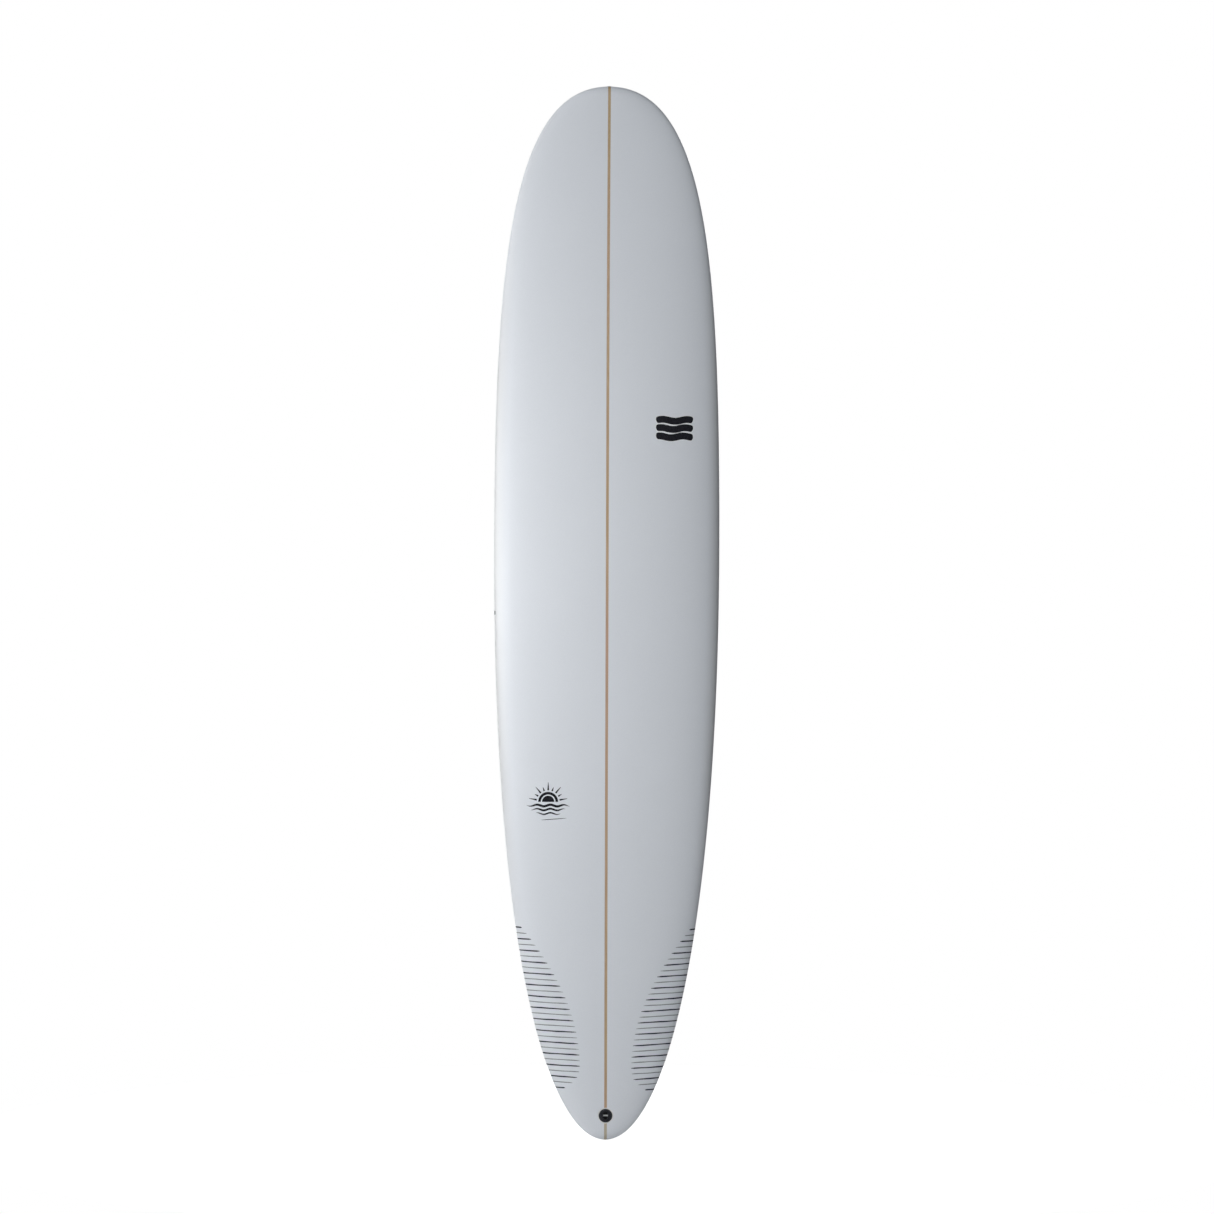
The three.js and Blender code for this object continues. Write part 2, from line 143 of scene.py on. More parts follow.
def surface(z, angle):
    """The board's skin. The angle is 0 on the right rail, a quarter turn on the deck's centre line,
    a half turn on the left rail, and less than 0 or more than a half turn on the bottom."""
    z, angle = np.broadcast_arrays(np.asarray(z, float), np.asarray(angle, float))
    across = np.cos(angle)
    share = np.abs(across)
    rail = along_rails(RAIL_HEIGHT, z)
    flat = along_rails(BOTTOM_FLAT, z)
    deck = (1 - rail) * np.sqrt(np.maximum(0, 1 - share**DECK_CROWN_POWER))
    past = np.clip((share - flat) / (1 - flat), 0, 1)
    bottom = -rail * np.sqrt(np.maximum(0, 1 - past * past))
    height = rocker(z) + rail * thickness(z)
    height = height + thickness(z) * tip_rounding(z) * np.where(np.sin(angle) >= 0, deck, bottom)
    return np.stack([across * half_width(z), -height, z], axis=-1)


def outward(z, angle):
    """The skin's unit normal, pointing out of the board."""
    dz, turn = 0.2 * MM, 0.0015
    z = np.clip(z, -HALF_LENGTH + 2 * dz, HALF_LENGTH - 2 * dz)
    along = surface(z + dz, angle) - surface(z - dz, angle)
    around = surface(z, angle + turn) - surface(z, angle - turn)
    normal = np.cross(around, along)
    normal /= np.maximum(np.linalg.norm(normal, axis=-1, keepdims=True), 1e-12)
    centre = np.stack([0 * z, -(rocker(z) + 0.4 * thickness(z)), z], axis=-1)
    flip = np.sum(normal * (surface(z, angle) - centre), axis=-1, keepdims=True) < 0
    return np.where(flip, -normal, normal)


def deck_angle(x, z):
    """The angle of the deck point that lies x from the stringer."""
    return np.arccos(np.clip(x / np.maximum(half_width(z), 1e-6), -1, 1))


def bottom_seat(x, z, toe=0.0, cant=0.0):
    """A frame on the bottom: +Y out of it and +Z towards the nose."""
    slope = math.atan(float(rocker(z + MM) - rocker(z - MM)) / (2 * MM))
    turn = Matrix.Rotation(slope, 4, "X") @ Matrix.Rotation(toe, 4, "Y") @ Matrix.Rotation(cant, 4, "Z")
    return Matrix.Translation((x, -float(rocker(z)), z)) @ turn


def deck_seat(z):
    """A frame on the deck's centre line: -Y out of it and +Z towards the nose."""
    def top(at):
        return float(rocker(at) + thickness(at))
    slope = math.atan((top(z + MM) - top(z - MM)) / (2 * MM))
    return Matrix.Translation((0, -top(z), z)) @ Matrix.Rotation(slope, 4, "X")


LEASH_Z = -HALF_LENGTH + LEASH_PLUG_FROM_TAIL
BOX_Z = -HALF_LENGTH + BOX_FROM_TAIL
SIDE_FIN_Z = -HALF_LENGTH + SIDE_FIN_FROM_TAIL

# ---- Node helpers for materials ----


class Look:
    """A material under construction: its nodes are added and linked by short calls."""

    def __init__(self, name, **sockets):
        self.material = bpy.data.materials.new(name)
        self.material.use_nodes = True
        self.tree = self.material.node_tree
        self.shader = self.tree.nodes["Principled BSDF"]
        self.coords = self.tree.nodes.new("ShaderNodeTexCoord").outputs["Object"]
        for key, value in sockets.items():
            self.shader.inputs[key.replace("_", " ")].default_value = value

    def node(self, kind, **values):
        node = self.tree.nodes.new(kind)
        for key, value in values.items():
            setattr(node, key, value)
        return node

    def link(self, start, end):
        self.tree.links.new(start, end)

    def stretched(self, scale):
        """The object's own coordinates, multiplied by scale on each axis."""
        node = self.node("ShaderNodeMapping")
        node.inputs["Scale"].default_value = scale
        self.link(self.coords, node.inputs["Vector"])
        return node.outputs["Vector"]

    def height(self):
        """The object's own z, in metres."""
        node = self.node("ShaderNodeSeparateXYZ")
        self.link(self.coords, node.inputs["Vector"])
        return node.outputs["Z"]

    def noise(self, scale, detail=3.0, roughness=0.5, coords=None, distortion=0.0):
        node = self.node("ShaderNodeTexNoise")
        node.inputs["Scale"].default_value = scale
        node.inputs["Detail"].default_value = detail
        node.inputs["Roughness"].default_value = roughness
        node.inputs["Distortion"].default_value = distortion
        self.link(coords or self.coords, node.inputs["Vector"])
        return node.outputs["Fac"]

    def wave(self, scale, direction, distortion):
        node = self.node("ShaderNodeTexWave", bands_direction=direction)
        node.inputs["Scale"].default_value = scale
        node.inputs["Distortion"].default_value = distortion
        self.link(self.coords, node.inputs["Vector"])
        return node.outputs["Fac"]

    def cells(self, scale):
        node = self.node("ShaderNodeTexVoronoi")
        node.inputs["Scale"].default_value = scale
        self.link(self.coords, node.inputs["Vector"])
        return node.outputs["Distance"]

    def attribute(self, name):
        return self.node("ShaderNodeAttribute", attribute_name=name).outputs["Fac"]

    def ramp(self, value, *stops):
        """Colours or greys at stops of the form (position, colour or grey)."""
        node = self.node("ShaderNodeValToRGB")
        elements = node.color_ramp.elements
        while len(elements) < len(stops):
            elements.new(0.5)
        for element, (position, colour) in zip(elements, stops):
            grey = isinstance(colour, (int, float))
            element.position = position
            element.color = (colour, colour, colour, 1) if grey else (*colour, 1)
        self.link(value, node.inputs["Fac"])
        return node.outputs["Color"]

    def math(self, operation, a, b):
        node = self.node("ShaderNodeMath", operation=operation)
        for socket, value in zip(node.inputs, (a, b)):
            if isinstance(value, (int, float)):
                socket.default_value = value
            else:
                self.link(value, socket)
        return node.outputs["Value"]

    def mix(self, amount, a, b, blend="MIX"):
        node = self.node("ShaderNodeMix", data_type="RGBA", blend_type=blend)
        for key, value in (("Factor", amount), ("A", a), ("B", b)):
            socket = node.inputs[key]
            if isinstance(value, (int, float)):
                socket.default_value = value
            elif isinstance(value, tuple):
                socket.default_value = (*value, 1)
            else:
                self.link(value, socket)
        return node.outputs["Result"]

    def set(self, socket, value):
        self.link(value, self.shader.inputs[socket])

    def bump(self, *layers):
        """Each layer is (height, distance in metres, strength)."""
        before = None
        for height, distance, strength in layers:
            node = self.node("ShaderNodeBump")
            node.inputs["Distance"].default_value = distance
            node.inputs["Strength"].default_value = strength
            self.link(height, node.inputs["Height"])
            if before:
                self.link(before, node.inputs["Normal"])
            before = node.outputs["Normal"]
        self.link(before, self.shader.inputs["Normal"])


def glossed_skin(name, tint, painted_shade_colour):
    """White foam and glass cloth under polished resin: faint blotches, cloth print-through, soft gloss, and
    a painted shade towards the rails.
    """
    look = Look(name, Coat_Weight=0.14, Coat_Roughness=0.14, IOR=1.48, Specular_IOR_Level=0.34)
    blotch = look.ramp(look.noise(2.6, 3), (0.30, 0.0), (0.75, 1.0))
    darker = tuple(c * 0.982 for c in tint)
    colour = look.mix(blotch, tint, darker)
    foam = look.ramp(look.cells(420), (0.1, 1.0), (0.6, 0.972))
    colour = look.mix(1.0, colour, foam, "MULTIPLY")
    # Painted shade: the 'rail' attribute mixes in a darker colour towards the rails, where light falls off.
    colour = look.mix(look.attribute("rail"), colour, painted_shade_colour)
    look.set("Base Color", colour)
    look.set("Roughness", look.ramp(look.noise(14, 4), (0.3, 0.31), (0.75, 0.40)))
    warp = look.wave(560, "X", 1.2)
    weft = look.wave(560, "Z", 1.2)
    cloth = look.math("MULTIPLY", warp, weft)
    swell = (look.noise(9, 2), 0.6 * MM, 0.10)
    dust = (look.noise(900, 1), 0.01 * MM, 0.5)
    look.bump(swell, (cloth, 0.02 * MM, 0.35), dust)
    return look.material


def stringer_under_gloss():
    """Basswood edge seen through resin: reddish-brown, paler below the leash plug (z under -1.31 m)."""
    look = Look("stringer_under_gloss", Coat_Weight=0.6, Coat_Roughness=0.06, IOR=1.5)
    grain = look.noise(60, 6, 0.6, look.stretched((14, 14, 0.16)), 0.4)
    dark, middle, light = (0.50, 0.33, 0.19), (0.60, 0.42, 0.27), (0.70, 0.53, 0.38)
    colour = look.ramp(grain, (0.25, dark), (0.55, middle), (0.8, light))
    tone = look.ramp(look.noise(1.1, 2), (0.3, (0.95, 1.0, 0.86)), (0.7, (1.0, 0.90, 1.04)))
    colour = look.mix(1.0, colour, tone, "MULTIPLY")
    below_plug = look.ramp(look.math("MULTIPLY", look.height(), -0.7), (0.915, 0.0), (0.925, 0.7))
    look.set("Base Color", look.mix(below_plug, colour, (0.60, 0.57, 0.45)))
    look.set("Roughness", look.ramp(grain, (0.2, 0.30), (0.8, 0.42)))
    look.bump((grain, 0.05 * MM, 0.4))
    return look.material


def raw_wood():
    """The same wood bare, as it is inside the board."""
    look = Look("stringer_wood", IOR=1.45)
    grain = look.noise(60, 6, 0.6, look.stretched((10, 10, 0.2)), 0.5)
    dark, middle, light = (0.42, 0.27, 0.15), (0.60, 0.42, 0.26), (0.70, 0.54, 0.36)
    look.set("Base Color", look.ramp(grain, (0.25, dark), (0.6, middle), (0.9, light)))
    look.set("Roughness", look.ramp(grain, (0.2, 0.55), (0.8, 0.75)))
    look.bump((grain, 0.3 * MM, 0.5))
    return look.material


def foam():
    look = Look("foam", IOR=1.4)
    cell = look.cells(900)
    dark, light = (0.84, 0.85, 0.83), (0.90, 0.90, 0.88)
    look.set("Base Color", look.ramp(look.noise(8, 3), (0.3, dark), (0.7, light)))
    look.set("Roughness", look.ramp(cell, (0.1, 0.75), (0.6, 0.95)))
    look.bump((cell, 0.4 * MM, 0.7))
    return look.material


def ink(name, dark, light):
    """Printed ink under the gloss: slightly broken where the print is thin."""
    look = Look(name, Coat_Weight=0.15, Coat_Roughness=0.10, IOR=1.5, Specular_IOR_Level=0.25)
    patch = look.ramp(look.noise(260, 3, 0.6), (0.42, 0.0), (0.72, 1.0))
    look.set("Base Color", look.mix(patch, dark, light))
    look.set("Roughness", look.ramp(look.noise(30, 3), (0.3, 0.20), (0.7, 0.32)))
    look.bump((look.noise(700, 2), 0.02 * MM, 0.4))
    return look.material


def moulded(name, dark, light, roughness):
    """Moulded plastic: a fine spark-eroded grain and a little scuffing."""
    look = Look(name, IOR=1.48, Specular_IOR_Level=0.4)
    scuff = look.ramp(look.noise(120, 5, 0.65), (0.45, 0.0), (0.8, 1.0))
    look.set("Base Color", look.mix(scuff, dark, light))
    look.set("Roughness", look.ramp(look.noise(240, 3), (0.3, roughness), (0.75, roughness + 0.16)))
    look.bump((look.noise(2600, 2), 0.03 * MM, 0.6), (look.noise(60, 2), 0.05 * MM, 0.2))
    return look.material


def resin_ring():
    look = Look("resin_ring", Coat_Weight=0.5, Coat_Roughness=0.08, IOR=1.5)
    tone = look.noise(140, 3)
    look.set("Base Color", look.ramp(tone, (0.3, (0.80, 0.80, 0.78)), (0.7, (0.90, 0.90, 0.89))))
    look.set("Roughness", look.ramp(tone, (0.3, 0.16), (0.7, 0.28)))
    look.bump((look.noise(400, 2), 0.03 * MM, 0.4))
    return look.material


def metal(name, dark, light, roughness):
    """Turned metal with fine drawing marks."""
    look = Look(name, Metallic=1.0, IOR=1.5)
    marks = look.noise(90, 4, 0.6, look.stretched((4, 40, 40)))
    look.set("Base Color", look.ramp(marks, (0.3, dark), (0.7, light)))
    look.set("Roughness", look.ramp(marks, (0.25, roughness), (0.75, roughness + 0.14)))
    look.bump((marks, 0.02 * MM, 0.4))
    return look.material


def fin_laminate():
    """Dark glass-fibre laminate: the cloth's crossing tows show faintly under a polished face."""
    look = Look("fin_laminate", Coat_Weight=0.5, Coat_Roughness=0.05, IOR=1.52)
    warp = look.wave(190, "Z", 0.8)
    weft = look.wave(190, "Y", 0.8)
    cloth = look.math("MULTIPLY", warp, weft)
    cloudy = look.noise(26, 4)
    colour = look.ramp(cloth, (0.15, (0.012, 0.013, 0.015)), (0.8, (0.040, 0.042, 0.046)))
    tone = look.ramp(cloudy, (0.3, 0.8), (0.7, 1.25))
    look.set("Base Color", look.mix(1.0, colour, tone, "MULTIPLY"))
    look.set("Roughness", look.ramp(cloudy, (0.3, 0.18), (0.75, 0.32)))
    look.bump((cloth, 0.05 * MM, 0.3))
    return look.material


DECK_TINT = (0.875, 0.903, 0.950)
# The colour of the painted shade that darkens the skins towards the rails.
PAINTED_SHADE_COLOUR = (0.48, 0.46, 0.42)
LOOKS = {
    "deck": glossed_skin("deck_skin", DECK_TINT, PAINTED_SHADE_COLOUR),
    "bottom": glossed_skin("bottom_skin", (0.87, 0.90, 0.93), PAINTED_SHADE_COLOUR),
    "stringer": stringer_under_gloss(),
    "wood": raw_wood(),
    "foam": foam(),
    "dark_ink": ink("dark_ink", (0.005, 0.005, 0.009), (0.016, 0.017, 0.024)),
    "line_dark": ink("line_dark", (0.020, 0.021, 0.032), (0.060, 0.062, 0.080)),
    "line_grey": ink("line_grey", (0.22, 0.225, 0.235), (0.33, 0.335, 0.345)),
    "pale_ink": ink("pale_ink", (0.93, 0.94, 0.95), (0.96, 0.97, 0.975)),
    "black_plastic": moulded("black_plastic", (0.012, 0.012, 0.017), (0.045, 0.045, 0.052), 0.30),
    "white_plastic": moulded("white_plastic", (0.80, 0.80, 0.79), (0.70, 0.70, 0.69), 0.32),
    "resin": resin_ring(),
    "steel": metal("stainless", (0.60, 0.60, 0.61), (0.78, 0.78, 0.79), 0.22),
    "bar_steel": metal("bar_steel", (0.84, 0.84, 0.85), (0.95, 0.95, 0.95), 0.30),
    "brass": metal("pin_brass", (0.62, 0.44, 0.20), (0.78, 0.58, 0.29), 0.24),
    "fin": fin_laminate(),
}

# ---- Mesh helpers ----

# An edge that turns by more than this stays sharp.
FILM_SMOOTH = math.radians(40)
EDGE_SMOOTH = 0.7
PLUG_SMOOTH = 0.6


def piece(name, vertices, faces, look, body, slot, nodes=(), smooth_angle=None, close=True):
    """A mesh object that rides on a body, made from vertices and faces in the row frame."""
    mesh = bpy.data.meshes.new(name)
    mesh.from_pydata([tuple(v) for v in vertices], [], [tuple(f) for f in faces])
    work = bmesh.new()
    work.from_mesh(mesh)
    bmesh.ops.remove_doubles(work, verts=work.verts, dist=0.002 * MM)
    if close:
        bmesh.ops.recalc_face_normals(work, faces=work.faces)
    for face in work.faces:
        face.smooth = True
    if smooth_angle is not None:
        for edge in work.edges:
            edge.smooth = len(edge.link_faces) == 2 and edge.calc_face_angle() < smooth_angle
    work.to_mesh(mesh)
    work.free()
    mesh.materials.append(LOOKS[look])
    made = bpy.data.objects.new(name, mesh)
    bpy.context.scene.collection.objects.link(made)
    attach(made, body)
    if nodes:
        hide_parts(*nodes)
    return made


def grid_faces(rows, columns, wrap=False):
    """Quads of a grid whose vertices are numbered row by row."""
    faces = []
    for r in range(rows - 1):
        for c in range(columns if wrap else columns - 1):
            d = (c + 1) % columns
            a, b = r * columns, (r + 1) * columns
            faces.append((a + c, a + d, b + d, b + c))
    return faces


class Parts:
    """Vertices and faces gathered from several shapes for one piece."""

    def __init__(self):
        self.vertices, self.faces = [], []

    def add(self, vertices, faces):
        start = len(self.vertices)
        self.vertices += [tuple(v) for v in vertices]
        self.faces += [tuple(start + i for i in face) for face in faces]

    def rings(self, rings):
        """A closed skin over rings of points, each ring a closed loop of the same count."""
        count = len(rings[0])
        faces = grid_faces(len(rings), count, wrap=True)
        faces.append(tuple(range(count)))
        faces.append(tuple(range((len(rings) - 1) * count, len(rings) * count)))
        self.add([p for ring in rings for p in ring], faces)

    def film(self, z, angle, lift=0.12 * MM, sink=0.12 * MM):
        """A thin closed film on the board's skin, over a grid of (z, angle)."""
        z, angle = np.broadcast_arrays(z, angle)
        rows, columns = z.shape
        skin = surface(z, angle)
        normal = outward(z, angle)
        top = (skin + normal * lift).reshape(-1, 3)
        under = (skin - normal * sink).reshape(-1, 3)
        count = rows * columns
        faces = grid_faces(rows, columns)
        faces += [tuple(count + i for i in face[::-1]) for face in grid_faces(rows, columns)]
        rim = list(range(columns))
        rim += [r * columns + columns - 1 for r in range(1, rows)]
        rim += [(rows - 1) * columns + c for c in range(columns - 2, -1, -1)]
        rim += [r * columns for r in range(rows - 2, 0, -1)]
        for a, b in zip(rim, rim[1:] + rim[:1]):
            faces.append((a, b, count + b, count + a))
        self.add(np.concatenate([top, under]), faces)

    def deck_film(self, x, z, **lifts):
        """A film on the deck over a grid of (x, z)."""
        x, z = np.broadcast_arrays(np.asarray(x, float), np.asarray(z, float))
        self.film(z, deck_angle(x, z), **lifts)

    def piece(self, name, look, body, slot, **options):
        return piece(name, self.vertices, self.faces, look, body, slot, **options)


# ---- Skins ----


SKIN_LAP = {"deck": math.radians(34), "bottom": math.radians(32)}  # of the section's turn, past the rail
SKIN_WALL = {"deck": 0.7 * MM, "bottom": 1.1 * MM}
BOTTOM_SINK = 0.1 * MM  # the deck's skin laps over the bottom's, which lies this much deeper
BOX_HOLE = {"reach": 122.9 * MM, "radius": 13.6 * MM}
BOX_ENDS = 124 * MM  # from the box's middle to where its round ends need closer stations
LEASH_HOLE_RADIUS = 16.6 * MM
SIDE_HOLE_RADIUS = 14.2 * MM


def close_to(centre, reach, step):
    """Close stations round a fitting; the reach and the step are in millimetres."""
    return np.arange(-reach, reach + 1, step) * MM + centre


def stations():
    """Places along the board: rounded into both tips and closer together round each fitting."""
    turn = np.linspace(0, math.pi / 2, 11)
    tip = HALF_LENGTH - TIP_RADIUS * (1 - np.cos(turn))
    body_end = HALF_LENGTH - TIP_RADIUS
    nose = NOSE_LINE[:: len(NOSE_LINE) // 90, 1]
    tail = TAIL_LINE[:: len(TAIL_LINE) // 120, 1]
    places = np.concatenate([nose, tail])
    places = places[np.abs(places) < body_end - MM]
    fine = [
        close_to(LEASH_Z, 22, 2.6),
        close_to(SIDE_FIN_Z, 58, 3.2),
        close_to(BOX_Z - BOX_ENDS, 16, 3),
        close_to(BOX_Z + BOX_ENDS, 16, 3),
    ]
    places = np.sort(np.concatenate([tip, -tip, places, *fine]))
    kept = [places[0]]
    for z in places[1:]:
        near_tip = abs(z) > body_end - 2 * MM
        if z - kept[-1] > (0.02 * MM if near_tip else 1.6 * MM):
            kept.append(z)
    return np.array(kept)


def open_hole(z, angle, faces, keep, hole):
    """Cuts a round or round-ended hole in a skin's grid and draws the rim's points on to its edge.
    The hole is (x, z, half length of its middle line, radius)."""
    x0, z0, reach, radius = hole
    point = surface(z, angle)
    along = np.clip(z - z0, -reach, reach)
    dx, dz = point[..., 0] - x0, z - z0 - along
    gap = np.hypot(dx, dz)
    inside = (gap < radius).ravel()
    cut = inside[faces].any(axis=1)
    rim = np.zeros(z.size, bool)
    rim[faces[cut & keep].ravel()] = True
    rim &= ~inside
    rim = rim.reshape(z.shape)
    shrink = radius / np.maximum(gap, 1e-9)
    new_angle = np.sign(np.sin(angle)) * deck_angle(x0 + dx * shrink, z0 + along + dz * shrink)
    z = np.where(rim, z0 + along + dz * shrink, z)
    return z, np.where(rim, new_angle, angle), keep & ~cut


def skin_piece(side, angles, holes, sink):
    """One smooth skin, deck or bottom, with a true hole for each fitting."""
    z, angle = np.meshgrid(stations(), angles, indexing="ij")
    faces = np.array(grid_faces(*z.shape))
    keep = np.ones(len(faces), bool)
    for hole in holes:
        z, angle, keep = open_hole(z, angle, faces, keep, hole)
    points = (surface(z, angle) - outward(z, angle) * sink).reshape(-1, 3)
    kept_faces = faces[keep]
    used = np.unique(kept_faces)
    number = np.full(z.size, -1)
    number[used] = np.arange(len(used))
    skin, node = f"{side}_skin", f"{side}_laminate"
    made = piece(skin, points[used], number[kept_faces], side, "board", skin, [node], close=False)
    face_out(made)
    add_painted_rail_shade(made, side == "deck")
    wall = made.modifiers.new("wall", "SOLIDIFY")
    wall.thickness = SKIN_WALL[side]
    wall.offset = -1


def face_out(made):
    """Turns every face of a skin to point out of the board."""
    work = bmesh.new()
    work.from_mesh(made.data)
    for face in work.faces:
        middle = face.calc_center_median()
        centre = Vector((0, -float(rocker(middle.z) + 0.4 * thickness(middle.z)), middle.z))
        if face.normal.dot(middle - centre) < 0:
            face.normal_flip()
    work.to_mesh(made.data)
    work.free()


# Painted shade on the rails: the darker colour starts at a share of the half width. Along the board it is
# full for a stretch each way from its middle place, then fades by a share over a further stretch.
PAINTED_RAIL_SHADE = {"strength": 0.5, "from": 0.88, "power": 1.5, "fade_under": 12 * MM}
PAINTED_RAIL_SHADE_ENDS = {"middle": 0.1, "full": 0.5, "fade": 0.4, "loss": 0.7}


def add_painted_rail_shade(made, is_deck):
    """Stores how far each point lies onto the rail, from 0 to 1, as a painted shade in the skin's colour.
    The deck skin is painted a little darker towards the rail, and the painted shade fades again just under
    it."""
    x, y, z = np.array([v.co for v in made.data.vertices]).T
    share = np.abs(x) / np.maximum(half_width(z), MM)
    ends = PAINTED_RAIL_SHADE_ENDS
    past = np.clip((np.abs(z - ends["middle"]) - ends["full"]) / ends["fade"], 0, 1)
    onto = np.clip((share - PAINTED_RAIL_SHADE["from"]) / (1 - PAINTED_RAIL_SHADE["from"]), 0, 1)
    edge = PAINTED_RAIL_SHADE["strength"] * (1 - ends["loss"] * past) * onto ** PAINTED_RAIL_SHADE["power"]
    rail_height = rocker(z) + along_rails(RAIL_HEIGHT, z) * thickness(z)
    under = np.clip((rail_height + y) / PAINTED_RAIL_SHADE["fade_under"], 0, 1)
    # The 'rail' attribute holds this painted shade.
    attribute = made.data.attributes.new("rail", "FLOAT", "POINT")
    attribute.data.foreach_set("value", edge * (1 - under) if is_deck else 0 * edge)


def make_deck_skin():
    lap = SKIN_LAP["deck"]
    angles = np.linspace(-lap, math.pi + lap, 116)
    skin_piece("deck", angles, [(0, LEASH_Z, 0, LEASH_HOLE_RADIUS)], 0)


def make_bottom_skin():
    lap = SKIN_LAP["bottom"]
    angles = np.linspace(-lap, -math.pi + lap, 104)
    holes = [(0, BOX_Z, BOX_HOLE["reach"], BOX_HOLE["radius"])]
    for side in (-1, 1):
        for end in (-1, 1):
            seat = bottom_seat(side * SIDE_FIN_X, SIDE_FIN_Z, -side * SIDE_FIN_TOE)
            middle = seat @ Vector((-side * SIDE_PLUG_OFFSET, 0, end * TAB_SPACING / 2))
            holes.append((middle.x, middle.z, 0, SIDE_HOLE_RADIUS))
    skin_piece("bottom", angles, holes, BOTTOM_SINK)


# ---- The stringer's line, seen through the skins ----


STRINGER_LINE = 3.6 * MM  # half width; the gloss spreads the wood's edge a little
STRINGER_END_GAP = 0.35 * MM
UNDER_PLUG_RIM = 0.8 * MM
BOX_CLEAR = 136 * MM  # from the box's middle to where the line starts again


def stringer_line(name, runs, on_deck):
    """The stringer's edge as a film on the skin, with rows at the skin's own stations."""
    parts = Parts()
    places = stations()
    for low, high in runs:
        inside = places[(places > low) & (places < high)]
        z = np.concatenate([[low], inside, [high]])[:, None]
        x = np.array([-STRINGER_LINE, 0, STRINGER_LINE])[None, :]
        angle = deck_angle(x, z)
        parts.film(z + 0 * x, angle if on_deck else -angle, lift=0.06 * MM)
    slot = "deck_skin" if on_deck else "bottom_skin"
    parts.piece(name, "stringer", "board", slot, smooth_angle=FILM_SMOOTH)


def make_stringer_lines():
    end = HALF_LENGTH - STRINGER_END_GAP
    plug = LEASH_RIM - UNDER_PLUG_RIM
    stringer_line("stringer_line_deck", [(-end, LEASH_Z - plug), (LEASH_Z + plug, end)], True)
    stringer_line("stringer_line_bottom", [(-end, BOX_Z - BOX_CLEAR), (BOX_Z + BOX_CLEAR, end)], False)


# ---- Fine lines round the tail ----

LINES = {"first": -0.8185, "pitch": 29.75 * MM, "count": 15, "drop": 0.045, "wrap": math.radians(28)}
LINE_WIDTH = {"dark": 3.2 * MM, "grey": 2.1 * MM}
LINE_STEPS = 46
RIGHT_SHIFT = -5.5 * MM  # the lines on the right sit this much nearer the tail
INNER_END = {"nearest": 68 * MM, "spread": 152 * MM, "over": 362 * MM, "power": 2.05}
INNER_FLARE = {"from": -1.170, "spread": 38 * MM, "over": 64 * MM, "power": 2.8}


def inner_end(z):
    """How near the stringer a tail line reaches: the field narrows in a curve and flares at its end."""
    share = np.clip((LINES["first"] - z) / INNER_END["over"], 0, 1)
    flare = np.clip((INNER_FLARE["from"] - z) / INNER_FLARE["over"], 0, 1)
    curve = INNER_END["spread"] * (1 - share) ** INNER_END["power"]
    return INNER_END["nearest"] + curve + INNER_FLARE["spread"] * flare ** INNER_FLARE["power"]


def tail_line(parts, side, shade, number, at):
    """One line: it starts on the bottom, wraps the rail and runs in over the deck, dropping a little."""
    angle = np.linspace(-LINES["wrap"], float(deck_angle(inner_end(at), at)), LINE_STEPS)
    x = np.cos(angle) * half_width(at)
    run = np.clip(half_width(at) - x, 0, None)
    slow_sway = 0.22 * MM * np.sin(x * 60 + number * 2.4)
    quick_sway = 0.10 * MM * np.sin(x * 170 + number * 5.1)
    shift = 0.0 if side < 0 else RIGHT_SHIFT
    middle = at + shift - LINES["drop"] * run + (slow_sway + quick_sway)
    width = LINE_WIDTH[shade] * (1 + 0.12 * np.sin(x * 90 + number * 1.7))
    width = width * np.clip((LINE_STEPS - 1 - np.arange(LINE_STEPS)) / 1.5, 0.35, 1)
    z = middle[:, None] + width[:, None] * np.array([-0.5, 0.0, 0.5])[None, :]
    angle = angle if side > 0 else math.pi - angle
    parts.film(z, angle[:, None])


def tail_lines(side, shade):
    """All the lines of one shade on one side. The grey ones lie midway between the dark ones."""
    parts = Parts()
    between = 0.5 if shade == "grey" else 0.0
    count = LINES["count"] - (1 if shade == "grey" else 0)
    for i in range(count):
        tail_line(parts, side, shade, i, LINES["first"] - (i + between) * LINES["pitch"])
    side_name = "left" if side < 0 else "right"
    name = f"tail_lines_{shade}_{side_name}"
    parts.piece(name, f"line_{shade}", "board", "deck_skin", smooth_angle=FILM_SMOOTH)


def make_tail_lines():
    for side in (-1, 1):
        for shade in ("dark", "grey"):
            tail_lines(side, shade)


# ---- Two plain printed marks ----


def strip(parts, middle_x, middle_z, width, rows=5, **lifts):
    """A film along a path on the deck, as wide across as width says at each point."""
    path = np.stack([middle_x, middle_z], axis=-1)
    along = np.gradient(path, axis=0)
    along /= np.linalg.norm(along, axis=-1, keepdims=True)
    across = np.stack([-along[:, 1], along[:, 0]], axis=-1)
    share = np.linspace(-0.5, 0.5, rows)
    offset = np.asarray(width)[:, None] * share[None, :]
    grid = path[:, None, :] + across[:, None, :] * offset[..., None]
    parts.deck_film(grid[..., 0], grid[..., 1], **lifts)


WAVE_MARK = {"x": 175 * MM, "z": 486.5 * MM, "length": 97 * MM, "pitch": 21.6 * MM, "band": 18.0 * MM}


def rolling_bands(grow, **lifts):
    """Three thick bands that roll like a swell, each grown by a margin for the pale outline."""
    mark = WAVE_MARK
    parts = Parts()
    for i in (-1, 0, 1):
        t = np.linspace(0, 1, 61)
        x = mark["x"] + (t - 0.5) * (mark["length"] + 2 * grow)
        z = mark["z"] - i * mark["pitch"] + 2.4 * MM * np.sin(t * 3 * math.pi + 0.4 + i * 0.5)
        ends = np.sqrt(np.clip(1 - (np.abs(t - 0.5) * 2) ** 22, 0.02, 1))
        strip(parts, x, z, (mark["band"] + 2 * grow) * ends, **lifts)
    return parts


